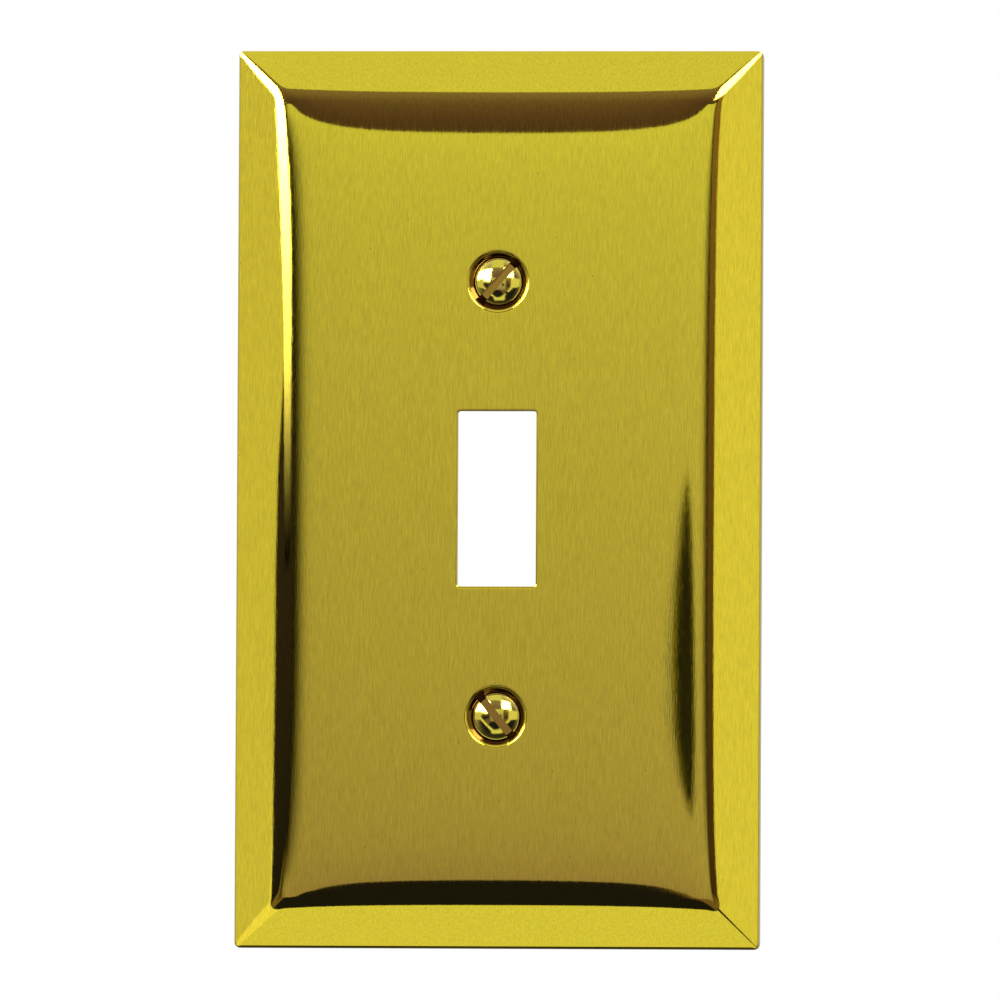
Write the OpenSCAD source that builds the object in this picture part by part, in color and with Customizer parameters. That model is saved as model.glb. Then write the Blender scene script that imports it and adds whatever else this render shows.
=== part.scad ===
// Formed brass wall plate for one toggle switch, with its two slotted oval-head screws.
// Front faces -Y, +Z is up, +X is right, and the origin is the centre of the plane where the plate meets the wall.

/* [Plate] */
// Width of the plate where it meets the wall, mm
plate_w = 73; // [70:0.1:90]
// Height of the plate, mm
plate_h = 124.6; // [114:0.1:140]
// Thickness of the brass sheet, mm
sheet_t = 1; // [0.8:0.1:1.2]
// Radius of the plate's four outer corners, seen from the front, mm
corner_r = 0.8; // [0.5:0.1:1]
// Height at which the sloping border would meet the upright rim, mm
rim_h = 2.2; // [1.8:0.1:3]
// Rounding where the rim turns into the sloping border, mm
rim_round = 0.25; // [0.2:0.05:0.6]
// Width of the sloping border, mm
border_w = 6; // [5.5:0.1:6.5]
// Rise of the border between the rim and the crease round the panel, mm
border_rise = 2.07; // [1.8:0.01:2.2]
// Half width of the rounding along the crease, mm
crease_blend = 1; // [0.6:0.1:1.4]
// Rise of the panel's middle above the crease, mm
panel_rise = 1; // [0.7:0.1:1.1]
// Distance over which the panel's slope falls away from the crease, mm
panel_reach = 4; // [3:0.5:6]
// How fast the panel's slope falls away, as a power
panel_fall = 1.8; // [1.6:0.1:2.2]

/* [Toggle slot] */
// Width of the slot for the toggle, mm
slot_w = 10.9; // [9.5:0.1:11.5]
// Height of the slot for the toggle, mm
slot_h = 24.3; // [23:0.1:25]
// Radius of the slot's corners, mm
slot_corner_r = 0.3; // [0.2:0.1:0.5]

/* [Screws] */
// Distance between the two screws, mm
screw_spacing = 60.325; // [60:0.005:61]
// Radius over the screw's thread, mm
shank_r = 1.75; // [1.6:0.01:1.85]
// Length of the screw from the head's edge to its tip, mm
screw_l = 15.9; // [12.7:0.1:25.4]
// Radius of the screw's head, mm
head_r = 3.25; // [3.1:0.01:3.4]
// Height of the head's rounded crown above the head's edge, mm
crown_h = 0.95; // [0.85:0.05:1.1]
// Width of the screwdriver slot, mm
driver_slot_w = 1.1; // [0.9:0.05:1.2]
// Depth of the screwdriver slot below the crown, mm
driver_slot_depth = 1.35; // [1.2:0.05:1.5]
// Turn of the upper screw's slot from level, degrees
upper_slot_turn = 48; // [-90:1:90]
// Turn of the lower screw's slot from level, degrees
lower_slot_turn = -51; // [-90:1:90]

/* [Dimples] */
// Radius of the dimple's mouth in the front of the plate, mm
dimple_r = 4.2; // [4.1:0.05:4.5]
// Radius of the dimple at the foot of its steep wall, mm
seat_r = 3.72; // [3.6:0.02:3.9]
// Depth of the foot of the steep wall, mm
seat_depth = 0.6; // [0.5:0.05:0.8]
// Full depth of the dimple, mm
dimple_depth = 2.29; // [2.25:0.01:2.4]
// Radius of the screw hole at the bottom of the dimple, mm
hole_r = 2.1; // [2:0.05:2.2]
// Half of the head's cone angle, degrees
cone_half_angle = 41; // [40:0.5:42]
// Gap between the head's cone and the edge of the hole, mm
seat_gap = 0.02; // [0.01:0.01:0.05]

/* [Hidden] */

$fn = 96;

brass_color = [0.78, 0.62, 0.22];
screw_color = [0.80, 0.66, 0.28];

// Half sizes of the plate.
half_w = plate_w / 2;
half_h = plate_h / 2;

// The blank reaches past the outline on all sides, and below the wall plane, and is trimmed to both.
trim_margin = 0.5;
below_wall = 1;

border_slope = border_rise / border_w;

// Places, as distances in from the crease, where the sheet's grid has a line.
crease_lines = [
    -crease_blend, -crease_blend / 2, 0, crease_blend / 2, crease_blend,
    1.6, 2.4, 3.6, 5.2, 7.5, 10.5, 14.5
];
side_middle_steps = 5;
end_middle_steps = 9;

screw_z = screw_spacing / 2;
cup_wall = sheet_t / cos(cone_half_angle);
cup_top_depth = sheet_t * 0.8;

// The head has a narrow upright edge and a flat step, inside which the crown rises.
edge_land = 0.13;
crown_r = head_r - edge_land;
crown_rise = crown_h - edge_land;
crown_sphere_r = (crown_r * crown_r + crown_rise * crown_rise) / (2 * crown_rise);
crown_root = edge_land / 3;
tip_chamfer = 0.6;

overshoot = 2;

// The lesser of two numbers, rounded where they are within a blend of each other.
function soft_min(a, b, blend) = min(a, b) - pow(max(blend - abs(a - b), 0), 2) / (4 * blend);

// Drop of the front below the straight border, d in from the edge, where it turns into the rim.
function round_drop(d) =
    d >= rim_round ? 0 : rim_round - sqrt(rim_round * rim_round - pow(rim_round - max(d, 0), 2));

// Rise of a shape whose slope falls away with the distance d, before it is levelled at the middle.
function falling_rise(d) = 1 - pow(1 + d / panel_reach, 1 - panel_fall);

// Slope of that shape at its far end, half way across.
function far_slope(reach) = (panel_fall - 1) / panel_reach * pow(1 + reach / panel_reach, -panel_fall);

// Share of the panel's rise, from 0 at the crease to 1 at the middle, d in from the edge.
function panel_share(d, half) =
    let (
        reach = half - border_w,
        inside = max(d - border_w, 0) + pow(max(crease_blend - abs(d - border_w), 0), 2) / (4 * crease_blend)
    )
    (falling_rise(inside) - far_slope(reach) * inside) / (falling_rise(reach) - far_slope(reach) * reach);

// Height of the sheet's front above the wall, before its edge is rounded.
function sheet_height(x, z) =
    let (in_x = max(half_w - abs(x), 0), in_z = max(half_h - abs(z), 0))
    rim_h + border_slope * soft_min(min(in_x, in_z), border_w, crease_blend)
    + panel_rise * panel_share(in_x, half_w) * panel_share(in_z, half_h);

function front_height(x, z) = sheet_height(x, z) - round_drop(min(half_w - abs(x), half_h - abs(z)));
function back_height(x, z) = sheet_height(x, z) - sheet_t;

panel_top = sheet_height(0, 0);
dimple_top = sheet_height(0, screw_z);

// The head's cone rests on the edge of the hole, lifted off it by the seat's gap.
head_edge = dimple_top - dimple_depth + (head_r - hole_r + seat_gap / cos(cone_half_angle)) / tan(cone_half_angle);
head_cone_h = (head_r - shank_r) / tan(cone_half_angle);

// Distances in from one edge where the front's grid has a line, from the trimmed margin to the middle.
function half_lines(half, middle_steps) =
    let (last_line = border_w + crease_lines[len(crease_lines) - 1])
    concat(
        [-trim_margin, 0, rim_round * 0.2, rim_round * 0.5, rim_round, border_w / 2],
        [for (d = crease_lines) border_w + d],
        [for (i = [1 : middle_steps]) last_line + i * (half - last_line) / middle_steps]
    );

// The same lines for the back of the sheet, which starts one thickness in.
function back_half_lines(half, middle_steps) = concat(
    [sheet_t, sheet_t * 1.1, sheet_t * 1.2, sheet_t * 1.4, sheet_t * 1.6],
    [for (i = [5 : len(half_lines(half, middle_steps)) - 1]) half_lines(half, middle_steps)[i]]
);

// Full set of lines from one edge to the other.
function both_halves(lines, half) = concat(
    [for (d = lines) d - half],
    [for (i = [len(lines) - 2 : -1 : 0]) half - lines[i]]
);

front_x = both_halves(half_lines(half_w, side_middle_steps), half_w);
front_z = both_halves(half_lines(half_h, end_middle_steps), half_h);
back_x = both_halves(back_half_lines(half_w, side_middle_steps), half_w);
back_z = both_halves(back_half_lines(half_h, end_middle_steps), half_h);

columns = len(front_x);
rows = len(front_z);
face_points = columns * rows;

// Grid places round the edge, counter-clockwise from the lower left.
edge_places = concat(
    [for (i = [0 : columns - 2]) [i, 0]],
    [for (j = [0 : rows - 2]) [columns - 1, j]],
    [for (i = [columns - 1 : -1 : 1]) [i, rows - 1]],
    [for (j = [rows - 1 : -1 : 1]) [0, j]]
);
edge_count = len(edge_places);

function grid_point(place) = place[0] * rows + place[1];

// Each cell's diagonal points at the middle of the plate, so that the mitres at the corners are straight.
function cell_leans_forward(i, j) = (i < (columns - 1) / 2) == (j < (rows - 1) / 2);

function cell_faces(i, j, first) =
    let (
        a = first + grid_point([i, j]),
        b = first + grid_point([i + 1, j]),
        c = first + grid_point([i + 1, j + 1]),
        d = first + grid_point([i, j + 1])
    )
    cell_leans_forward(i, j) ? [[a, c, b], [a, d, c]] : [[a, d, b], [b, d, c]];

function turned_over(faces) = [for (f = faces) [f[0], f[2], f[1]]];

// Pressed sheet, before its outline is trimmed, lying face up.
module pressed_blank() {
    points = concat(
        [for (x = front_x, z = front_z) [x, z, front_height(x, z)]],
        [for (x = back_x, z = back_z) [x, z, back_height(x, z)]],
        [for (p = edge_places) [front_x[p[0]], front_z[p[1]], -below_wall]],
        [for (p = edge_places) [back_x[p[0]], back_z[p[1]], -below_wall]]
    );
    outer_foot = 2 * face_points;
    inner_foot = outer_foot + edge_count;
    faces = concat(
        [for (i = [0 : columns - 2], j = [0 : rows - 2]) each cell_faces(i, j, 0)],
        [for (i = [0 : columns - 2], j = [0 : rows - 2]) each turned_over(cell_faces(i, j, face_points))],
        [for (k = [0 : edge_count - 1])
            let (
                n = (k + 1) % edge_count,
                front_a = grid_point(edge_places[k]),
                front_b = grid_point(edge_places[n]),
                back_a = face_points + front_a,
                back_b = face_points + front_b
            )
            each [
                [front_a, front_b, outer_foot + k], [front_b, outer_foot + n, outer_foot + k],
                [outer_foot + k, outer_foot + n, inner_foot + k], [outer_foot + n, inner_foot + n, inner_foot + k],
                [inner_foot + k, inner_foot + n, back_a], [inner_foot + n, back_b, back_a]
            ]
        ]
    );
    polyhedron(points = points, faces = faces, convexity = 6);
}

// Flat rectangle with round corners, centred on the origin.
module round_rectangle(w, h, r) {
    square([w - 2 * r, h], center = true);
    square([w, h - 2 * r], center = true);
    for (sx = [-1, 1], sy = [-1, 1])
        translate([sx * (w / 2 - r), sy * (h / 2 - r)]) circle(r = r);
}

// Outside of the cup that the dimple's punch leaves behind the sheet.
module cup_outside() {
    rise = dimple_depth - cup_top_depth;
    bottom_r = hole_r + cup_wall;
    translate([0, 0, dimple_top - dimple_depth])
        cylinder(r1 = bottom_r, r2 = bottom_r + rise * tan(cone_half_angle), h = rise);
}

// What the dimple's punch and the drill take away: the mouth, the seat and the hole, in one turned shape.
module cup_inside() {
    mouth_flare = (dimple_r - seat_r) / seat_depth;
    translate([0, 0, dimple_top])
        rotate_extrude()
            polygon([
                [0, overshoot],
                [dimple_r + overshoot * mouth_flare, overshoot],
                [seat_r, -seat_depth],
                [hole_r, -dimple_depth],
                [hole_r, -dimple_depth - overshoot],
                [0, -dimple_depth - overshoot]
            ]);
}

// One-piece plate, pressed from sheet, with the slot for the toggle and a dimple for each screw.
module wall_plate() {
    color(brass_color)
    rotate([90, 0, 0])
    difference() {
        union() {
            intersection() {
                pressed_blank();
                linear_extrude(height = panel_top + overshoot)
                    round_rectangle(plate_w, plate_h, corner_r);
            }
            for (side = [-1, 1])
                translate([0, side * screw_z, 0]) cup_outside();
        }
        translate([0, 0, -overshoot])
            linear_extrude(height = panel_top + 2 * overshoot)
                round_rectangle(slot_w, slot_h, slot_corner_r);
        for (side = [-1, 1])
            translate([0, side * screw_z, 0]) cup_inside();
    }
}

// Slotted oval-head machine screw, drawn with its axis on +Z and its head's edge at the origin.
module oval_head_screw() {
    difference() {
        union() {
            intersection() {
                translate([0, 0, crown_h - crown_sphere_r]) sphere(r = crown_sphere_r);
                translate([0, 0, edge_land - crown_root]) cylinder(r = head_r, h = crown_h);
            }
            rotate_extrude()
                polygon([
                    [0, -screw_l],
                    [shank_r - tip_chamfer / 2, -screw_l],
                    [shank_r, tip_chamfer - screw_l],
                    [shank_r, -head_cone_h],
                    [head_r, 0],
                    [head_r, edge_land],
                    [0, edge_land]
                ]);
        }
        translate([-head_r - overshoot, -driver_slot_w / 2, crown_h - driver_slot_depth])
            cube([2 * (head_r + overshoot), driver_slot_w, driver_slot_depth + overshoot]);
    }
}

// Screw above the toggle.
module upper_screw() {
    color(screw_color)
    rotate([90, 0, 0])
        translate([0, screw_z, head_edge]) rotate([0, 0, upper_slot_turn]) oval_head_screw();
}

// Screw below the toggle.
module lower_screw() {
    color(screw_color)
    rotate([90, 0, 0])
        translate([0, -screw_z, head_edge]) rotate([0, 0, lower_slot_turn]) oval_head_screw();
}

wall_plate();
upper_screw();
lower_screw();
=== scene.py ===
import math

import bmesh
import bpy
import numpy as np
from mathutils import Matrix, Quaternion


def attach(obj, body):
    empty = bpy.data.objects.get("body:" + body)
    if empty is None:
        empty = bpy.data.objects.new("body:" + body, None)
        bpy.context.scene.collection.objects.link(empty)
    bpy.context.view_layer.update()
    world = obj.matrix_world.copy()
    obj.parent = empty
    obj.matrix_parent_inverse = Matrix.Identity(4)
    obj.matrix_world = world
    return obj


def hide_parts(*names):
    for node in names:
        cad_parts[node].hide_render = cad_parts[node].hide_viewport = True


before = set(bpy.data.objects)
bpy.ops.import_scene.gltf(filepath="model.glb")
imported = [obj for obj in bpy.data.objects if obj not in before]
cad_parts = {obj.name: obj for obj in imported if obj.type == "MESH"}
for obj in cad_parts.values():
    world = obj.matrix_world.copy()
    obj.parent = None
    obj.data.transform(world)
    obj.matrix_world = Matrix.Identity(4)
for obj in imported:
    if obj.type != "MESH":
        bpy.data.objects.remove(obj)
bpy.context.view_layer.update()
mm = 0.001


# The wall plate: one piece of 1 mm brass sheet, polished, brushed up and down and lacquered.
# It starts as a flat blank with an upright rim, its slot punched and its two dimples struck,
# and the press then gives it the sloping border and the domed panel.
plate_half_w = 73 / 2
plate_half_h = 124.6 / 2
sheet_t = 1.0
rim_h = 2.2
border_w = 6.0
dimple_z = 60.325 / 2
slot_half_w = 10.9 / 2
slot_half_h = 24.3 / 2
slot_corner_r = 0.35
corner_r = 0.85
hole_r = 2.1
cone = math.radians(41)


def lines_to_middle(half, coarse_from, coarse_to):
    """Distances in from one edge at which the blank has a line of points: finest at the edge and the
    crease, and coarse across the dimples, which lie between the two distances from the middle."""
    lines = [0, 0.03, 0.07, 0.12, 0.17, 0.24, 0.4, 0.7, 1.0, 1.35, 1.75, 2.2, 2.7, 3.2, 3.7, 4.15, 4.5]
    lines += list(np.arange(4.75, 8.01, 0.2))
    stops = [8.0, half - coarse_to, half - coarse_from, half]
    steps = [0.7, 1.2, 0.55]
    for start, stop, step in zip(stops[:-1], stops[1:], steps):
        if stop - start > 1e-6:
            count = max(1, round((stop - start) / step))
            lines += [start + (stop - start) * k / count for k in range(1, count + 1)]
    return np.array(sorted({round(v, 5) for v in lines}))


def both_sides(lines, half):
    return np.concatenate([lines - half, (half - lines[:-1])[::-1]])


def rounded_corner(x, z, inset, radius):
    """Bends the square corner of the blank into a round one."""
    cx = plate_half_w - inset - radius
    cz = plate_half_h - inset - radius
    p = abs(x) - cx
    q = abs(z) - cz
    if p <= 0 or q <= 0 or radius <= 0:
        return x, z
    reach = max(p, q) / math.hypot(p, q)
    return math.copysign(cx + p * reach, x), math.copysign(cz + q * reach, z)


def around(i0, i1, j0, j1):
    """Grid places round a block of the blank, counter-clockwise from its lower left."""
    ring = [(i, j0) for i in range(i0, i1)]
    ring += [(i1, j) for j in range(j0, j1)]
    ring += [(i, j1) for i in range(i1, i0, -1)]
    ring += [(i0, j) for j in range(j1, j0, -1)]
    return ring


def ring_of(bm, places, y):
    return [bm.verts.new((x * mm, y * mm, z * mm)) for x, z in places]


def bridge(bm, a, b):
    for k in range(len(a)):
        n = (k + 1) % len(a)
        bm.faces.new((a[k], a[n], b[n], b[k]))


def circle_at(ring, centre_z, radius):
    out = []
    for x, z in ring:
        turn = math.atan2(z - centre_z, x)
        out.append((radius * math.cos(turn), centre_z + radius * math.sin(turn)))
    return out


def slot_at(ring, grow):
    """Places on the slot's outline, grown by a margin, one for each place of the ring outside it."""
    cx = slot_half_w - slot_corner_r
    cz = slot_half_h - slot_corner_r
    r = slot_corner_r + grow
    out = []
    for x, z in ring:
        if abs(z) <= cz:
            out.append((math.copysign(cx + r, x), z))
        elif abs(x) <= cx:
            out.append((x, math.copysign(cz + r, z)))
        else:
            turn = math.atan2(abs(z) - cz, abs(x) - cx)
            out.append((math.copysign(cx + r * math.cos(turn), x), math.copysign(cz + r * math.sin(turn), z)))
    return out


def toward(ring, inner, share):
    return [(a[0] + (b[0] - a[0]) * share, a[1] + (b[1] - a[1]) * share) for a, b in zip(ring, inner)]


def nearest(lines, value):
    return int(np.argmin(np.abs(lines - value)))


# Blocks of the grid are left out for the dimples and the slot. Each reaches about this far across
# and up from its middle.
dimple_block = (6.6, 6.6)
slot_block = (8.2, 15.2)
coarse_x = 7.3
half_x = lines_to_middle(plate_half_w, 0, coarse_x)
half_z = lines_to_middle(plate_half_h, dimple_z - dimple_block[1], dimple_z + dimple_block[1])
xs_front = both_sides(half_x, plate_half_w)
zs_front = both_sides(half_z, plate_half_h)


def behind(lines, half):
    """The same lines on the back of the sheet, which starts one thickness in from the edge."""
    inner = 2.2
    inset = half - np.abs(lines)
    moved = np.where(inset < inner, sheet_t + inset * (inner - sheet_t) / inner, inset)
    return np.sign(lines) * (half - moved)


xs_back = behind(xs_front, plate_half_w)
zs_back = behind(zs_front, plate_half_h)
blocks = []
for middle, (reach_x, reach_z) in ((dimple_z, dimple_block), (-dimple_z, dimple_block), (0, slot_block)):
    blocks.append((nearest(xs_front, -reach_x), nearest(xs_front, reach_x),
                   nearest(zs_front, middle - reach_z), nearest(zs_front, middle + reach_z)))

bm = bmesh.new()
share_of_rim = bm.verts.layers.float.new("rim_share")
loops = []
inner_corner_r = 0.3
front = (xs_front, zs_front, 0, corner_r, 0.0)
back = (xs_back, zs_back, sheet_t, inner_corner_r, sheet_t)
for xs, zs, inset, radius, y in (front, back):
    points = {}
    for i, x in enumerate(xs):
        for j, z in enumerate(zs):
            if not any(a < i < b and c < j < d for a, b, c, d in blocks):
                px, pz = rounded_corner(x, z, inset, radius)
                points[i, j] = bm.verts.new((px * mm, y * mm, pz * mm))
    for i in range(len(xs) - 1):
        for j in range(len(zs) - 1):
            if not any(a <= i < b and c <= j < d for a, b, c, d in blocks):
                corners = [points[i, j], points[i + 1, j], points[i + 1, j + 1], points[i, j + 1]]
                # The diagonal of each cell points at the middle, so the mitres stay straight.
                if (i < len(xs) / 2) != (j < len(zs) / 2):
                    corners = corners[1:] + corners[:1]
                bm.faces.new((corners[0], corners[1], corners[2]))
                bm.faces.new((corners[0], corners[2], corners[3]))
    rims = [[points[p] for p in around(*block)] for block in blocks]
    edge = [points[p] for p in around(0, len(xs) - 1, 0, len(zs) - 1)]
    loops.append((rims, edge))

# The upright rim, from the edge of the front down to the wall, along the foot and up the inside.
front_edge, back_edge = loops[0][1], loops[1][1]


def rim_ring(edge, share, y):
    ring = [bm.verts.new((v.co.x, y * mm, v.co.z)) for v in edge]
    for v in ring:
        v[share_of_rim] = share
    return ring


rim_rings = [front_edge] + [rim_ring(front_edge, s, 0) for s in (0.3, 0.6, 0.9, 0.97, 1.0)]
rim_rings += [rim_ring(back_edge, s, sheet_t) for s in (1.0, 0.97, 0.5)] + [back_edge]
for a, b in zip(rim_rings[:-1], rim_rings[1:]):
    bridge(bm, a, b)

# Each dimple: a rounded lip, a steep wall, a conical seat for the screw's head, and the cup behind.
lip_round = 0.5
lip_start_r = 4.42
wall_lean = math.radians(70)
wall_foot = (3.72, 0.6)
dimple_depth = 2.29


def dimple_front():
    profile = [(lip_start_r + 0.3, 0)]
    for k in range(10):
        a = wall_lean * k / 9
        profile.append((lip_start_r - lip_round * math.sin(a), lip_round * (1 - math.cos(a))))
    start = profile[-1]
    for end, steps in ((wall_foot, 4), ((hole_r, dimple_depth), 7)):
        for k in range(1, steps + 1):
            share = k / steps
            profile.append((start[0] + (end[0] - start[0]) * share, start[1] + (end[1] - start[1]) * share))
        start = end
    return profile


def dimple_back():
    return [(5.4, sheet_t), (5.15, sheet_t + 0.03), (4.95, sheet_t + 0.2), (4.72, sheet_t + 0.5),
            (4.25, 1.95), (3.8, dimple_depth - 0.06), (3.6, dimple_depth), (2.8, dimple_depth),
            (hole_r, dimple_depth)]


for block, centre_z in ((0, dimple_z), (1, -dimple_z)):
    ends = []
    for side, profile in ((0, dimple_front()), (1, dimple_back())):
        edge = loops[side][0][block]
        ring = [(v.co.x / mm, v.co.z / mm) for v in edge]
        outline = circle_at(ring, centre_z, profile[0][0])
        last = edge
        flat = sheet_t * side
        for share in (0.25, 0.5, 0.75):
            new = ring_of(bm, toward(ring, outline, share), flat)
            bridge(bm, last, new)
            last = new
        for r, drop in profile:
            new = ring_of(bm, circle_at(ring, centre_z, r), drop)
            bridge(bm, last, new)
            last = new
        ends.append(last)
    bridge(bm, ends[0], ends[1])

# The toggle slot: punched from the front, so its front edge is drawn in and its walls are straight.
# Each step is how far it stands off the slot's wall, and how deep it lies in the sheet.
ends = []
front_steps = ((0.5, 0), (0.2, 0), (0.12, 0.015), (0.06, 0.045), (0.02, 0.1), (0.0, 0.18), (0.0, 0.5))
back_steps = ((0.5, 1.0), (0.1, 1.0), (0.03, 0.985), (0.0, 0.95))
for side, steps in ((0, front_steps), (1, back_steps)):
    edge = loops[side][0][2]
    ring = [(v.co.x / mm, v.co.z / mm) for v in edge]
    outline = slot_at(ring, steps[0][0])
    last = edge
    for share in (0.3, 0.6, 0.85):
        new = ring_of(bm, toward(ring, outline, share), sheet_t * side)
        bridge(bm, last, new)
        last = new
    for grow, drop in steps:
        new = ring_of(bm, slot_at(ring, grow), drop)
        bridge(bm, last, new)
        last = new
    ends.append(last)
bridge(bm, ends[0], ends[1])


def object_from(bm, name):
    """An object in the scene from the finished bmesh, its faces turned outwards."""
    bmesh.ops.recalc_face_normals(bm, faces=bm.faces)
    mesh = bpy.data.meshes.new(name)
    bm.to_mesh(mesh)
    bm.free()
    made = bpy.data.objects.new(name, mesh)
    bpy.context.scene.collection.objects.link(made)
    return made


blank = object_from(bm, "plate_blank")

# The press: a Geometry Nodes tree that sets the height of every point of the blank from how far
# it lies from the plate's edges. Lengths are metres.
press_sizes = {
    "Half Width": plate_half_w * mm, "Half Height": plate_half_h * mm,
    "Rim Height": rim_h * mm, "Edge Rounding": 0.25 * mm,
    "Border Width": border_w * mm, "Border Slope": 0.345, "Crease Blend": 1.0 * mm,
    "Mitre Blend": 0.3 * mm, "Mitre Growth": 0.2,
    "Panel Rise": 0.9998 * mm, "Panel Reach": 4.0 * mm, "Panel Fall": 1.8,
}


def shaping_tree(name, sizes):
    """A tree that moves points, its inputs, and the place of a point taken apart into X, Y and Z."""
    tree = bpy.data.node_groups.new(name, "GeometryNodeTree")
    tree.interface.new_socket("Geometry", in_out="INPUT", socket_type="NodeSocketGeometry")
    for label, value in sizes.items():
        socket = tree.interface.new_socket(label, in_out="INPUT", socket_type="NodeSocketFloat")
        socket.default_value = value
    tree.interface.new_socket("Brass", in_out="INPUT", socket_type="NodeSocketMaterial")
    tree.interface.new_socket("Geometry", in_out="OUTPUT", socket_type="NodeSocketGeometry")
    given = tree.nodes.new("NodeGroupInput").outputs
    here = tree.nodes.new("GeometryNodeInputPosition").outputs[0]
    apart = tree.nodes.new("ShaderNodeSeparateXYZ")
    tree.links.new(here, apart.inputs[0])
    return tree, given, apart.outputs


def put_through(piece, tree, sizes, brass):
    """Puts a piece through a shaping tree, set by the identifiers of its inputs."""
    shaping = piece.modifiers.new(tree.name, "NODES")
    shaping.node_group = tree
    for socket in tree.interface.items_tree:
        if socket.in_out == "INPUT" and socket.name in sizes:
            shaping[socket.identifier] = sizes[socket.name]
        elif socket.in_out == "INPUT" and socket.name == "Brass":
            shaping[socket.identifier] = brass


def figure(tree, operation, *values):
    """One Math node: a socket is linked, a number is typed in."""
    node = tree.nodes.new("ShaderNodeMath")
    node.operation = operation
    for slot, value in zip(node.inputs, values):
        if isinstance(value, bpy.types.NodeSocket):
            tree.links.new(value, slot)
        else:
            slot.default_value = value
    return node.outputs[0]


press, given, apart = shaping_tree("plate_press", press_sizes)


def soft_min(a, b, blend):
    gap = figure(press, "ABSOLUTE", figure(press, "SUBTRACT", a, b))
    overlap = figure(press, "MAXIMUM", figure(press, "SUBTRACT", blend, gap), 0.0)
    squared = figure(press, "MULTIPLY", overlap, overlap)
    dip = figure(press, "DIVIDE", squared, figure(press, "MULTIPLY", blend, 4.0))
    return figure(press, "SUBTRACT", figure(press, "MINIMUM", a, b), dip)


in_x = figure(press, "SUBTRACT", given["Half Width"], figure(press, "ABSOLUTE", apart[0]))
in_z = figure(press, "SUBTRACT", given["Half Height"], figure(press, "ABSOLUTE", apart[2]))
mean_in = figure(press, "MULTIPLY", figure(press, "ADD", in_x, in_z), 0.5)
mitre = figure(press, "ADD", given["Mitre Blend"], figure(press, "MULTIPLY", mean_in, given["Mitre Growth"]))
in_edge = soft_min(in_x, in_z, mitre)
on_border = soft_min(in_edge, given["Border Width"], given["Crease Blend"])
slope_rise = figure(press, "MULTIPLY", figure(press, "MAXIMUM", on_border, 0.0), given["Border Slope"])

# The rounding between the rim and the border is a quarter of a circle.
near_edge = figure(press, "SUBTRACT", given["Edge Rounding"], figure(press, "MAXIMUM", in_edge, 0.0))
near_edge = figure(press, "MAXIMUM", near_edge, 0.0)
round_sq = figure(press, "MULTIPLY", given["Edge Rounding"], given["Edge Rounding"])
round_left = figure(press, "SUBTRACT", round_sq, figure(press, "MULTIPLY", near_edge, near_edge))
round_drop = figure(press, "SUBTRACT", given["Edge Rounding"], figure(press, "SQRT", round_left))


def panel_share(inward, half):
    """How far the panel has risen, from 0 at its crease to 1 at its middle, along one direction."""
    past = figure(press, "SUBTRACT", inward, given["Border Width"])
    gap = figure(press, "ABSOLUTE", past)
    soft = figure(press, "MAXIMUM", figure(press, "SUBTRACT", given["Crease Blend"], gap), 0.0)
    soft = figure(press, "DIVIDE", figure(press, "MULTIPLY", soft, soft),
                  figure(press, "MULTIPLY", given["Crease Blend"], 4.0))
    inside = figure(press, "ADD", figure(press, "MAXIMUM", past, 0.0), soft)
    reach = figure(press, "SUBTRACT", half, given["Border Width"])
    fall = figure(press, "SUBTRACT", given["Panel Fall"], 1.0)

    def risen(distance):
        run = figure(press, "ADD", figure(press, "DIVIDE", distance, given["Panel Reach"]), 1.0)
        still_to_rise = figure(press, "POWER", run, figure(press, "MULTIPLY", fall, -1.0))
        return run, figure(press, "SUBTRACT", 1.0, still_to_rise)

    far, most = risen(reach)
    now = risen(inside)[1]
    # A straight part is taken off so that the panel is level at its middle.
    level = figure(press, "POWER", far, figure(press, "MULTIPLY", given["Panel Fall"], -1.0))
    level = figure(press, "MULTIPLY", figure(press, "DIVIDE", fall, given["Panel Reach"]), level)
    most = figure(press, "SUBTRACT", most, figure(press, "MULTIPLY", level, reach))
    now = figure(press, "SUBTRACT", now, figure(press, "MULTIPLY", level, inside))
    return figure(press, "DIVIDE", now, most)


share_x = panel_share(in_x, given["Half Width"])
share_z = panel_share(in_z, given["Half Height"])
panel = figure(press, "MULTIPLY", figure(press, "MULTIPLY", share_x, share_z), given["Panel Rise"])
height = figure(press, "ADD", figure(press, "SUBTRACT", given["Rim Height"], round_drop),
                figure(press, "ADD", slope_rise, panel))
rim_share = press.nodes.new("GeometryNodeInputNamedAttribute")
rim_share.data_type = "FLOAT"
rim_share.inputs["Name"].default_value = "rim_share"
off_wall = figure(press, "SUBTRACT", 1.0, rim_share.outputs["Attribute"])
set_back = figure(press, "SUBTRACT", apart[1], height)
pressed_y = figure(press, "MULTIPLY", set_back, off_wall)
joined = press.nodes.new("ShaderNodeCombineXYZ")
press.links.new(apart[0], joined.inputs[0])
press.links.new(pressed_y, joined.inputs[1])
press.links.new(apart[2], joined.inputs[2])


def move_and_finish(tree, given, place):
    """The end of a tree that moves points: each goes to its place and the faces get the Brass input."""
    move = tree.nodes.new("GeometryNodeSetPosition")
    tree.links.new(given["Geometry"], move.inputs["Geometry"])
    tree.links.new(place, move.inputs["Position"])
    real = tree.nodes.new("GeometryNodeRealizeInstances")
    tree.links.new(move.outputs[0], real.inputs[0])
    finish = tree.nodes.new("GeometryNodeSetMaterial")
    tree.links.new(real.outputs[0], finish.inputs["Geometry"])
    tree.links.new(given["Brass"], finish.inputs["Material"])
    made = tree.nodes.new("NodeGroupOutput")
    tree.links.new(finish.outputs[0], made.inputs["Geometry"])


move_and_finish(press, given, joined.outputs[0])


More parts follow.
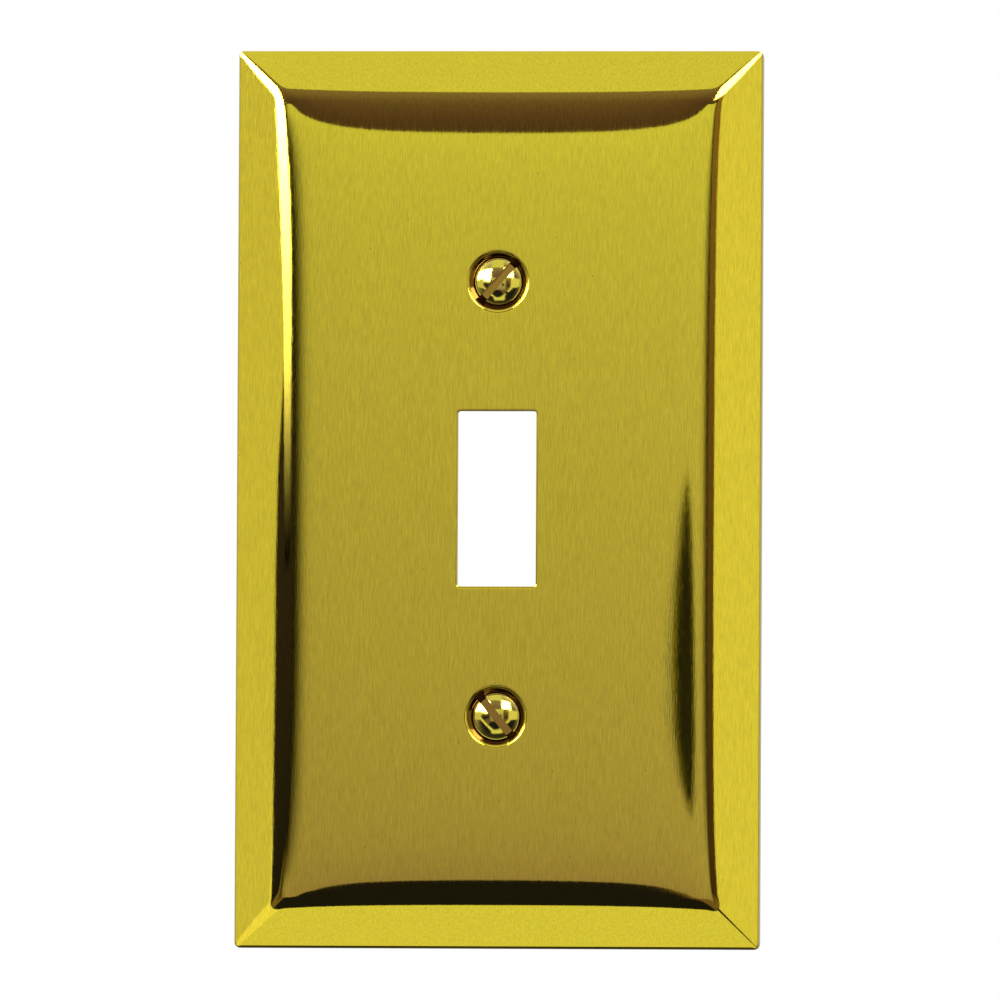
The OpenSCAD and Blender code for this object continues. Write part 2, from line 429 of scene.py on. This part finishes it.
# The brass of the plate: fine upright brush lines under a clear lacquer, with a few specks in it.
def shader_group(name, inputs, outputs):
    group = bpy.data.node_groups.new(name, "ShaderNodeTree")
    for label, value in inputs:
        group.interface.new_socket(label, in_out="INPUT", socket_type="NodeSocketFloat").default_value = value
    for label in outputs:
        group.interface.new_socket(label, in_out="OUTPUT", socket_type="NodeSocketFloat")
    return group


def add(tree, kind, **settings):
    node = tree.nodes.new(kind)
    for key, value in settings.items():
        setattr(node, key, value)
    return node


# Brush lines: noise drawn out along the stroke. Across and Along are lines a millimetre.
brush = shader_group("brush_lines", (("Across", 9.0), ("Along", 0.25)), ("Lines",))
inside = add(brush, "NodeGroupInput").outputs
where = add(brush, "ShaderNodeTexCoord").outputs["Object"]
split = add(brush, "ShaderNodeSeparateXYZ")
brush.links.new(where, split.inputs[0])
stretched = add(brush, "ShaderNodeCombineXYZ")
across = figure(brush, "MULTIPLY", inside["Across"], 1000.0)
along = figure(brush, "MULTIPLY", inside["Along"], 1000.0)
brush.links.new(figure(brush, "MULTIPLY", split.outputs[0], across), stretched.inputs[0])
brush.links.new(figure(brush, "MULTIPLY", split.outputs[1], across), stretched.inputs[1])
brush.links.new(figure(brush, "MULTIPLY", split.outputs[2], along), stretched.inputs[2])
strokes = add(brush, "ShaderNodeTexNoise")
strokes.inputs["Scale"].default_value = 1.0
strokes.inputs["Detail"].default_value = 3.0
strokes.inputs["Roughness"].default_value = 0.6
brush.links.new(stretched.outputs[0], strokes.inputs["Vector"])
out = add(brush, "NodeGroupOutput")
brush.links.new(strokes.outputs[0], out.inputs["Lines"])

# Specks: small dark pits and dust nibs caught in the lacquer, a few to the square centimetre.
specks = shader_group("lacquer_specks", (("Spacing", 2.4), ("Size", 0.12), ("Share", 0.35)), ("Specks",))
inside = add(specks, "NodeGroupInput").outputs
where = add(specks, "ShaderNodeTexCoord").outputs["Object"]
cells = add(specks, "ShaderNodeTexVoronoi", feature="F1", distance="EUCLIDEAN")
specks.links.new(where, cells.inputs["Vector"])
per_metre = figure(specks, "DIVIDE", 1000.0, inside["Spacing"])
specks.links.new(per_metre, cells.inputs["Scale"])
size = figure(specks, "DIVIDE", inside["Size"], inside["Spacing"])
near = figure(specks, "DIVIDE", cells.outputs["Distance"], size)
near = figure(specks, "SUBTRACT", 1.0, figure(specks, "MINIMUM", near, 1.0))
pick = add(specks, "ShaderNodeSeparateColor")
specks.links.new(cells.outputs["Color"], pick.inputs[0])
chosen = figure(specks, "LESS_THAN", pick.outputs[0], inside["Share"])
out = add(specks, "NodeGroupOutput")
specks.links.new(figure(specks, "MULTIPLY", near, chosen), out.inputs["Specks"])


def grouped(mat, group, **values):
    node = mat.node_tree.nodes.new("ShaderNodeGroup")
    node.node_tree = group
    for key, value in values.items():
        node.inputs[key].default_value = value
    return node


plate_brass = bpy.data.materials.new("lacquered_brass")
plate_brass.use_nodes = True
tree = plate_brass.node_tree
skin = tree.nodes["Principled BSDF"]
skin.inputs["Metallic"].default_value = 1.0
skin.inputs["Coat Weight"].default_value = 1.0
skin.inputs["Coat Roughness"].default_value = 0.03
skin.inputs["Anisotropic"].default_value = 0.4
stroke = add(tree, "ShaderNodeTangent", direction_type="UV_MAP", uv_map="face")
tree.links.new(stroke.outputs[0], skin.inputs["Tangent"])
lines = grouped(plate_brass, brush, Across=7.5, Along=0.55)
dust = grouped(plate_brass, specks, Spacing=2.6, Size=0.16, Share=0.3)
tone = add(tree, "ShaderNodeMapRange")
tree.links.new(lines.outputs["Lines"], tone.inputs["Value"])
tone.inputs["From Min"].default_value = 0.3
tone.inputs["From Max"].default_value = 0.7
tint = add(tree, "ShaderNodeMix", data_type="RGBA")
tint.inputs[6].default_value = (0.73, 0.557, 0.027, 1)
tint.inputs[7].default_value = (0.97, 0.758, 0.043, 1)
tree.links.new(tone.outputs[0], tint.inputs[0])
dotted = add(tree, "ShaderNodeMix", data_type="RGBA")
dotted.inputs[7].default_value = (0.30, 0.20, 0.02, 1)
tree.links.new(dust.outputs["Specks"], dotted.inputs[0])
tree.links.new(tint.outputs[2], dotted.inputs[6])
# Painted shade: inside the dimples, on the front of the sheet, the brass is painted dark brown for the shade
# in the gap round each screw's head.
shade_from_r, shade_full_r, shade_front_y = 4.15, 3.85, -3.0
at = add(tree, "ShaderNodeTexCoord").outputs["Object"]
axes = add(tree, "ShaderNodeSeparateXYZ")
tree.links.new(at, axes.inputs[0])
up = figure(tree, "SUBTRACT", figure(tree, "ABSOLUTE", axes.outputs[2]), dimple_z * mm)
reach = figure(tree, "ADD", figure(tree, "POWER", axes.outputs[0], 2.0), figure(tree, "POWER", up, 2.0))
dimple_shade_mask = add(tree, "ShaderNodeMapRange", interpolation_type="SMOOTHSTEP")
dimple_shade_mask.inputs["From Min"].default_value = shade_from_r * mm
dimple_shade_mask.inputs["From Max"].default_value = shade_full_r * mm
tree.links.new(figure(tree, "SQRT", reach), dimple_shade_mask.inputs["Value"])
# Painted shade: dark brown mixed into the brass round each screw's head, from the radius where it starts to
# the radius where it is full.
dimple_painted_shade = add(tree, "ShaderNodeMix", data_type="RGBA")
dimple_painted_shade.inputs[7].default_value = (0.16, 0.065, 0.022, 1)
in_front = figure(tree, "LESS_THAN", axes.outputs[1], shade_front_y * mm)
tree.links.new(figure(tree, "MULTIPLY", dimple_shade_mask.outputs[0], in_front), dimple_painted_shade.inputs[0])
tree.links.new(dotted.outputs[2], dimple_painted_shade.inputs[6])
tree.links.new(dimple_painted_shade.outputs[2], skin.inputs["Base Color"])
rough = add(tree, "ShaderNodeMapRange")
tree.links.new(lines.outputs["Lines"], rough.inputs["Value"])
rough.inputs["From Min"].default_value = 0.3
rough.inputs["From Max"].default_value = 0.7
rough.inputs["To Min"].default_value = 0.02
rough.inputs["To Max"].default_value = 0.06
tree.links.new(rough.outputs[0], skin.inputs["Roughness"])
bump = add(tree, "ShaderNodeBump")
bump.inputs["Strength"].default_value = 1.0
bump.inputs["Distance"].default_value = 0.0000024
tree.links.new(lines.outputs["Lines"], bump.inputs["Height"])
tree.links.new(bump.outputs[0], skin.inputs["Normal"])


def evaluated_mesh(source, name):
    """The object's mesh after its modifiers, as a plain object of its own."""
    bpy.context.view_layer.update()
    ready = source.evaluated_get(bpy.context.evaluated_depsgraph_get())
    mesh = bpy.data.meshes.new_from_object(ready)
    mesh.name = name
    piece = bpy.data.objects.new(name, mesh)
    bpy.context.scene.collection.objects.link(piece)
    bpy.data.objects.remove(source)
    return piece


def smoothed(piece, sharp_angle):
    """Merges doubled points, turns the faces outwards, and shades them smooth up to the sharp angle."""
    bm = bmesh.new()
    bm.from_mesh(piece.data)
    bmesh.ops.remove_doubles(bm, verts=bm.verts, dist=1e-7)
    bmesh.ops.recalc_face_normals(bm, faces=bm.faces)
    bm.to_mesh(piece.data)
    bm.free()
    piece.data.polygons.foreach_set("use_smooth", [True] * len(piece.data.polygons))
    piece.data.set_sharp_from_angle(angle=math.radians(sharp_angle))


put_through(blank, press, press_sizes, plate_brass)
wall_plate = evaluated_mesh(blank, "brass_wall_plate")
smoothed(wall_plate, 50)
# The map follows the front, with a small share of the depth so that the rim's sides aren't flat in it.
map_scale = 8
depth_across, depth_up = 0.05, 0.02
face_uv = wall_plate.data.uv_layers.new(name="face")
for loop, place in zip(wall_plate.data.loops, face_uv.data):
    corner = wall_plate.data.vertices[loop.vertex_index].co
    across, up = corner.x + corner.y * depth_across, corner.z + corner.y * depth_up
    place.uv = (across * map_scale + 0.5, up * map_scale + 0.5)
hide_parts("wall_plate")
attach(wall_plate, "plate")


# The two cover screws: 6-32 slotted oval-head screws turned in brass and polished, 15.9 mm long.
# Each is turned on a lathe, a thread is cut on its shank, and its driver slot is sawn across the head.
head_r = 3.25
head_edge_y = -4.284
crown_h = 0.95
land = 0.12
shank_r = 1.745
tip_y = 11.615
thread_start_y = -1.9
pitch = 0.79375
tip_taper = 0.6
tip_narrowing = 0.55
driver_slot_w = 1.1
driver_slot_depth = 1.35
upper_slot_turn = 48
lower_slot_turn = -51
turned_sides = 64

# The thread: points of the shank are drawn in to the groove's floor, which climbs one pitch a turn.
thread_sizes = {
    "Pitch": pitch * mm, "Outer Radius": shank_r * mm, "Depth": 0.45 * mm, "Centre Z": 0.0,
    "Start": thread_start_y * mm, "Run Out": 0.8 * mm, "Crest Share": 0.14, "Root Share": 0.22,
}
cutter, given, apart = shaping_tree("thread_cutter", thread_sizes)


def cut(operation, *values):
    return figure(cutter, operation, *values)


up = cut("SUBTRACT", apart[2], given["Centre Z"])
reach = cut("SQRT", cut("ADD", cut("MULTIPLY", apart[0], apart[0]), cut("MULTIPLY", up, up)))
turn = cut("DIVIDE", cut("ARCTAN2", apart[0], up), 2 * math.pi)
along = cut("SUBTRACT", cut("DIVIDE", apart[1], given["Pitch"]), turn)
phase = cut("FRACT", along)
# From the middle of a crest out to the middle of the groove and back, as 0 to 1 to 0.
from_crest = cut("MULTIPLY", cut("MINIMUM", phase, cut("SUBTRACT", 1.0, phase)), 2.0)
flank = cut("SUBTRACT", cut("SUBTRACT", 1.0, given["Crest Share"]), given["Root Share"])
groove = cut("DIVIDE", cut("SUBTRACT", from_crest, given["Crest Share"]), flank)
groove = cut("MINIMUM", cut("MAXIMUM", groove, 0.0), 1.0)
fade = cut("DIVIDE", cut("SUBTRACT", apart[1], given["Start"]), given["Run Out"])
fade = cut("MINIMUM", cut("MAXIMUM", fade, 0.0), 1.0)
groove_depth = cut("MULTIPLY", cut("MULTIPLY", groove, fade), given["Depth"])
floor_r = cut("SUBTRACT", given["Outer Radius"], groove_depth)
kept = cut("MINIMUM", reach, floor_r)
share = cut("DIVIDE", kept, cut("MAXIMUM", reach, 1e-6))
on_shank = cut("GREATER_THAN", apart[1], given["Start"])
share = cut("ADD", cut("MULTIPLY", share, on_shank), cut("SUBTRACT", 1.0, on_shank))
joined = cutter.nodes.new("ShaderNodeCombineXYZ")
cutter.links.new(cut("MULTIPLY", apart[0], share), joined.inputs[0])
cutter.links.new(apart[1], joined.inputs[1])
cutter.links.new(cut("ADD", cut("MULTIPLY", up, share), given["Centre Z"]), joined.inputs[2])
move_and_finish(cutter, given, joined.outputs[0])

# The screws' brass: bright and bare, with faint turning marks and a little handling wear.
screw_brass = bpy.data.materials.new("polished_brass")
screw_brass.use_nodes = True
tree = screw_brass.node_tree
skin = tree.nodes["Principled BSDF"]
skin.inputs["Metallic"].default_value = 1.0
wear = grouped(screw_brass, specks, Spacing=0.7, Size=0.09, Share=0.4)
marks = grouped(screw_brass, brush, Across=5.0, Along=3.0)
tint = add(tree, "ShaderNodeMix", data_type="RGBA")
tint.inputs[6].default_value = (0.86, 0.70, 0.13, 1)
tint.inputs[7].default_value = (0.52, 0.38, 0.07, 1)
tree.links.new(wear.outputs["Specks"], tint.inputs[0])
tree.links.new(tint.outputs[2], skin.inputs["Base Color"])
rough = add(tree, "ShaderNodeMapRange")
tree.links.new(marks.outputs["Lines"], rough.inputs["Value"])
rough.inputs["To Min"].default_value = 0.06
rough.inputs["To Max"].default_value = 0.13
tree.links.new(rough.outputs[0], skin.inputs["Roughness"])
bump = add(tree, "ShaderNodeBump")
bump.inputs["Distance"].default_value = 0.000004
tree.links.new(marks.outputs["Lines"], bump.inputs["Height"])
tree.links.new(bump.outputs[0], skin.inputs["Normal"])

# The driver slot's faces get a duller copy of the brass, painted darker for the shade inside the narrow slot.
slot_shade_brass = screw_brass.copy()
slot_shade_brass.name = "slot_shade_brass"
slot_shade_tint = next(node for node in slot_shade_brass.node_tree.nodes if node.bl_idname == "ShaderNodeMix")
# Painted shade: the slot's brass colours are darker than the head's, standing in for the shade inside the
# slot.
slot_shade_tint.inputs[6].default_value = (0.46, 0.27, 0.06, 1)
slot_shade_tint.inputs[7].default_value = (0.20, 0.11, 0.02, 1)
slot_shade_brass.node_tree.nodes["Principled BSDF"].inputs["Roughness"].default_value = 0.4


def turned_profile():
    """Radius and height of the screw's outline, from the middle of its crown to the middle of its tip."""
    crown_r = head_r - 0.14
    rise = crown_h - land
    sphere_r = (crown_r * crown_r + rise * rise) / (2 * rise)
    lean = math.asin(crown_r / sphere_r)
    top = head_edge_y - crown_h
    steps = 26
    leans = [lean * k / steps for k in range(steps + 1)]
    out = [(sphere_r * math.sin(a), top + sphere_r * (1 - math.cos(a))) for a in leans]
    out += [(head_r - 0.05, head_edge_y - land - 0.01), (head_r - 0.02, head_edge_y - land + 0.01)]
    out += [(head_r, head_edge_y - land + 0.05), (head_r, head_edge_y)]
    cone_end = head_edge_y + (head_r - shank_r) / math.tan(cone)
    for share in np.linspace(0.2, 1, 5):
        out.append((head_r + (shank_r - head_r) * share, head_edge_y + (cone_end - head_edge_y) * share))
    out += [(shank_r, thread_start_y)]
    step = pitch / 14
    count = int((tip_y - tip_taper - thread_start_y) / step)
    out += [(shank_r, thread_start_y + step * k) for k in range(1, count + 1)]
    start = out[-1][1]
    for share in np.linspace(0.1, 1, 10):
        out.append((shank_r - tip_narrowing * share, start + (tip_y - start) * share))
    out += [(0.6, tip_y), (0.0, tip_y)]
    return out


def cover_screw(name, centre_z, slot_turn):
    """One screw with its axis at that height, its driver slot turned that many degrees."""
    bm = bmesh.new()
    profile = turned_profile()
    top = bm.verts.new((0, profile[0][1] * mm, centre_z * mm))
    last = None
    for r, y in profile[1:-1]:
        ring = []
        for k in range(turned_sides):
            a = 2 * math.pi * k / turned_sides
            ring.append(bm.verts.new((r * math.cos(a) * mm, y * mm, (centre_z + r * math.sin(a)) * mm)))
        if last is None:
            for k in range(turned_sides):
                bm.faces.new((top, ring[k], ring[(k + 1) % turned_sides]))
        else:
            bridge(bm, last, ring)
        last = ring
    tip = bm.verts.new((0, profile[-1][1] * mm, centre_z * mm))
    for k in range(turned_sides):
        bm.faces.new((last[k], tip, last[(k + 1) % turned_sides]))
    turned = object_from(bm, name + "_blank")

    # The saw that cuts the driver slot, square across the head.
    bm = bmesh.new()
    crown_y = head_edge_y - crown_h
    floor_y = crown_y + driver_slot_depth
    half = driver_slot_w / 2
    section = [(-half, floor_y), (half, floor_y), (half, crown_y - 1), (-half, crown_y - 1)]
    turn = math.radians(slot_turn)
    ends = []
    for reach in (-4.0, 4.0):
        ring = []
        for side, y in section:
            x = reach * math.cos(turn) - side * math.sin(turn)
            z = reach * math.sin(turn) + side * math.cos(turn)
            ring.append(bm.verts.new((x * mm, y * mm, (centre_z + z) * mm)))
        ends.append(ring)
    bridge(bm, ends[0], ends[1])
    bm.faces.new(ends[0][::-1])
    bm.faces.new(ends[1])
    saw = object_from(bm, "saw")
    saw.data.materials.append(slot_shade_brass)
    put_through(turned, cutter, {**thread_sizes, "Centre Z": centre_z * mm}, screw_brass)
    threaded = evaluated_mesh(turned, name + "_threaded")
    sawing = threaded.modifiers.new("saw", "BOOLEAN")
    sawing.operation = "DIFFERENCE"
    sawing.solver = "EXACT"
    sawing.material_mode = "TRANSFER"
    sawing.object = saw
    screw = evaluated_mesh(threaded, name)
    bpy.data.objects.remove(saw)
    smoothed(screw, 28)
    return screw


upper_screw = cover_screw("cover_screw_upper", dimple_z, upper_slot_turn)
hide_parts("upper_screw")
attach(upper_screw, "upper_fastener")
lower_screw = cover_screw("cover_screw_lower", -dimple_z, lower_slot_turn)
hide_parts("lower_screw")
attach(lower_screw, "lower_fastener")


# The studio: a pale floor out of frame below, white all round, and the cards that the bright brass
# mirrors. The cards hang flat about 400 mm in front, square to the line the camera sees mirrored.
view_turn = math.radians(5.0)
view_rise = math.radians(-2.0)
card_reach = 400.0


def plain_material(name, colour, rough_value):
    mat = bpy.data.materials.new(name)
    mat.use_nodes = True
    shader = mat.node_tree.nodes["Principled BSDF"]
    shader.inputs["Base Color"].default_value = (*colour, 1)
    shader.inputs["Roughness"].default_value = rough_value
    return mat


def flat_card(name, corners, reach, mat):
    """A flat card across the mirrored line of sight, its corners given in millimetres from that line."""
    ahead = np.array((-math.sin(view_turn) * math.cos(view_rise), -math.cos(view_turn) * math.cos(view_rise),
                      -math.sin(view_rise)))
    right = np.array((math.cos(view_turn), -math.sin(view_turn), 0.0))
    upward = np.cross(ahead, right)
    upward *= math.copysign(1, upward[2])
    places = [ahead * reach + right * x + upward * z for x, z in corners]
    mesh = bpy.data.meshes.new(name)
    mesh.from_pydata([tuple(p * mm) for p in places], [], [tuple(range(len(corners)))])
    low = min(z for x, z in corners)
    high = max(z for x, z in corners)
    left = min(x for x, z in corners)
    wide = max(x for x, z in corners) - left
    uv = mesh.uv_layers.new(name="card")
    for loop, (x, z) in zip(uv.data, corners):
        loop.uv = ((x - left) / wide, (z - low) / (high - low))
    mesh.materials.append(mat)
    card = bpy.data.objects.new(name, mesh)
    bpy.context.scene.collection.objects.link(card)
    card.visible_camera = False
    card.visible_shadow = False
    return card


def lamp_card(name, corners, low, high, reach=card_reach, curve=1.0, soft_sides=0.0, side_change=0.0):
    """A lit card: low and high are its colours at its lower and upper side, times its strength. Its
    left and right sides can fade out, and side_change makes its right brighter than its left."""
    mat = bpy.data.materials.new(name)
    mat.use_nodes = True
    tree = mat.node_tree
    tree.nodes.clear()
    lamp = add(tree, "ShaderNodeEmission")
    place = add(tree, "ShaderNodeTexCoord")
    spread = add(tree, "ShaderNodeSeparateXYZ")
    tree.links.new(place.outputs["UV"], spread.inputs[0])
    blend = add(tree, "ShaderNodeMix", data_type="RGBA")
    blend.inputs[6].default_value = (*low, 1)
    blend.inputs[7].default_value = (*high, 1)
    tree.links.new(figure(tree, "POWER", spread.outputs[1], curve), blend.inputs[0])
    tree.links.new(blend.outputs[2], lamp.inputs["Color"])
    if soft_sides:
        off_middle = figure(tree, "ABSOLUTE", figure(tree, "SUBTRACT", spread.outputs[0], 0.5))
        from_side = figure(tree, "SUBTRACT", 0.5, off_middle)
        fade = add(tree, "ShaderNodeMapRange", interpolation_type="SMOOTHSTEP")
        fade.inputs["From Max"].default_value = soft_sides
        tree.links.new(from_side, fade.inputs["Value"])
        tilt = figure(tree, "MULTIPLY_ADD", spread.outputs[0], side_change, 1 - side_change / 2)
        tree.links.new(figure(tree, "MULTIPLY", fade.outputs[0], tilt), lamp.inputs["Strength"])
    end = add(tree, "ShaderNodeOutputMaterial")
    tree.links.new(lamp.outputs[0], end.inputs["Surface"])
    return flat_card(name, corners, reach, mat)


def oblong(left, right, low, high):
    return [(left, low), (right, low), (right, high), (left, high)]


# The front softbox lights the panel; the strips round it light the four borders and meet at the mitres.
lamp_card("front_softbox", oblong(-130, 174, -125, 98), (0.345, 0.291, 0.40), (0.70, 0.762, 0.44), curve=1.25,
          soft_sides=0.17, side_change=0.16)
strip_warm = (0.79, 0.81, 0.48)
right_shape = [(620, 118), (262, 118), (262, -80), (186, -168), (214, -203), (330, -110), (620, -110)]
lamp_card("right_strip", right_shape, strip_warm, strip_warm)
left_shape = [(-620, -105), (-322, -105), (-318, -8), (-300, 8), (-222, 24), (-255, 48), (-308, 75),
              (-330, 92), (-620, 92)]
lamp_card("left_strip", left_shape, (0.70, 0.71, 0.44), (0.65, 0.66, 0.42), 402)
strip_upper = (0.72, 0.77, 0.46)
lamp_card("upper_strip", oblong(-163, 118, 322, 620), strip_upper, strip_upper, 402)
lower_shape = [(-112, -430), (-112, -310), (40, -310), (95, -262), (142, -214), (173, -242), (130, -310),
               (150, -310), (150, -430)]
strip_lower = (0.77, 0.81, 0.48)
lamp_card("lower_strip", lower_shape, strip_lower, strip_lower, 398)
# A tall bright window at the upper left draws the white line down the left crease.
daylight = (16, 16, 16)
far_daylight = (9, 9, 9)
window_low = [(-190, -10), (-148, -10), (-142, 75), (-310, 75), (-262, 48), (-225, 32)]
lamp_card("window_low", window_low, (0.0, 0.0, 0.0), daylight, 395, curve=2.4)
lamp_card("window_high", oblong(-310, -138, 75, 290), daylight, daylight, 395)
lamp_card("window_far", oblong(-600, -328, 92, 300), far_daylight, far_daylight, 395)
# Kickers light the mitres, and dim boards round off the dark reflections beside the creases.
kicker_shape = [(-324, -40), (-240, -117), (-164, -190), (-91, -266), (-40, -314), (-110, -314), (-123, -298),
                (-196, -222), (-272, -149), (-324, -100)]
kicker_warm = (1.0, 1.0, 0.6)
lamp_card("low_kicker", kicker_shape, kicker_warm, kicker_warm, 395)
lamp_card("kicker", oblong(118, 330, 118, 330), far_daylight, far_daylight, 395)
left_corner = [(-90, -124), (-145, -200), (-162, -188), (-234, -112), (-130, -62), (-80, -62), (-80, -124)]
lamp_card("left_corner_board", left_corner, (0.20, 0.15, 0.13), (0.16, 0.12, 0.10), 401)
right_corner = [(40, -124), (112, -232), (150, -200), (182, -168), (236, -96), (181, -80), (150, -124)]
lamp_card("right_corner_board", right_corner, (0.16, 0.10, 0.09), (0.20, 0.15, 0.13), 401)
lamp_card("side_board", oblong(172, 290, -120, 116), (0.05, 0.025, 0.03), (0.36, 0.24, 0.15), 404, curve=2.2)
# A narrow black flag, pointed at both ends, hangs in front of the right of the front softbox.
flag_edge = [(0.0, 0.0), (0.12, 0.48), (0.3, 0.85), (0.5, 1.0), (0.7, 0.95), (0.86, 0.65), (1.0, 0.0)]
flag_x, flag_top, flag_drop = 91, 5, 64
flag_right_w, flag_left_w = 21, 25
flag_places = [(flag_x + flag_right_w * w, flag_top - flag_drop * t) for t, w in flag_edge]
flag_places += [(flag_x - flag_left_w * w, flag_top - flag_drop * t) for t, w in flag_edge[-2:0:-1]]
flat_card("flag", flag_places, 396, plain_material("flag_black", (0.01, 0.01, 0.01), 0.9))

# The floor is a painted disc below the plate, out of the brass's sight.
floor_radius = 0.6
floor_drop = 0.1
floor_mesh = bpy.data.meshes.new("floor")
floor_bm = bmesh.new()
bmesh.ops.create_circle(floor_bm, cap_ends=True, segments=96, radius=floor_radius)
floor_bm.to_mesh(floor_mesh)
floor_bm.free()
floor = bpy.data.objects.new("floor", floor_mesh)
floor.location = (0, 0, -floor_drop)
floor_mesh.materials.append(plain_material("floor_paint", (0.8, 0.8, 0.79), 0.7))
bpy.context.scene.collection.objects.link(floor)
floor.visible_glossy = False

# All is white to the eye, but the brass mirrors a dim room in front and pale walls at the sides.
world = bpy.data.worlds.new("studio")
bpy.context.scene.world = world
world.use_nodes = True
tree = world.node_tree
tree.nodes.clear()
ray = add(tree, "ShaderNodeLightPath")
where = add(tree, "ShaderNodeTexCoord")
direction = add(tree, "ShaderNodeSeparateXYZ")
tree.links.new(where.outputs["Generated"], direction.inputs[0])
beside = add(tree, "ShaderNodeMapRange")
beside.inputs["From Min"].default_value = -0.70
beside.inputs["From Max"].default_value = -0.50
tree.links.new(direction.outputs[1], beside.inputs["Value"])
room = add(tree, "ShaderNodeValToRGB")
room.color_ramp.elements[0].position = 0.50
room.color_ramp.elements[0].color = (0.012, 0.012, 0.03, 1)
room.color_ramp.elements[1].position = 0.80
room.color_ramp.elements[1].color = (0.25, 0.20, 0.26, 1)
middle = room.color_ramp.elements.new(0.60)
middle.color = (0.10, 0.06, 0.10, 1)
upward = add(tree, "ShaderNodeMapRange")
upward.inputs["From Min"].default_value = -1.0
tree.links.new(direction.outputs[2], upward.inputs["Value"])
tree.links.new(upward.outputs[0], room.inputs[0])
walls = add(tree, "ShaderNodeValToRGB")
walls.color_ramp.elements[0].position = 0.2
walls.color_ramp.elements[0].color = (0.06, 0.06, 0.06, 1)
walls.color_ramp.elements[1].position = 0.75
walls.color_ramp.elements[1].color = (0.8, 0.8, 0.8, 1)
tree.links.new(upward.outputs[0], walls.inputs[0])
mirrored = add(tree, "ShaderNodeMix", data_type="RGBA")
tree.links.new(beside.outputs[0], mirrored.inputs[0])
tree.links.new(room.outputs[0], mirrored.inputs[6])
tree.links.new(walls.outputs[0], mirrored.inputs[7])
seen = add(tree, "ShaderNodeMix", data_type="RGBA")
tree.links.new(ray.outputs["Is Camera Ray"], seen.inputs[0])
tree.links.new(mirrored.outputs[2], seen.inputs[6])
seen.inputs[7].default_value = (1, 1, 1, 1)
sky = add(tree, "ShaderNodeBackground")
tree.links.new(seen.outputs[2], sky.inputs["Color"])
end = add(tree, "ShaderNodeOutputWorld")
tree.links.new(sky.outputs[0], end.inputs["Surface"])

# The camera: far off with a long lens, a little to the right of the plate's middle and a little below,
# and rolled by a third of a degree.
camera_data = bpy.data.cameras.new("camera")
camera = bpy.data.objects.new("camera", camera_data)
bpy.context.scene.collection.objects.link(camera)
camera_far = 2.6
picture_width = 0.1388
camera_roll = math.radians(0.3)
camera_data.sensor_width = 36
camera_data.lens = 36 * camera_far / picture_width
camera_data.clip_start = 0.1
camera_data.clip_end = 50
back_x = math.sin(view_turn) * math.cos(view_rise)
back_y = -math.cos(view_turn) * math.cos(view_rise)
back_z = math.sin(view_rise)
camera.location = (back_x * camera_far, back_y * camera_far, back_z * camera_far)
look = camera.location.copy()
look.negate()
camera.rotation_mode = "QUATERNION"
roll = Quaternion((0, 0, 1), camera_roll)
camera.rotation_quaternion = look.to_track_quat("-Z", "Y") @ roll
bpy.context.scene.camera = camera
bpy.context.scene.view_settings.view_transform = "Standard"
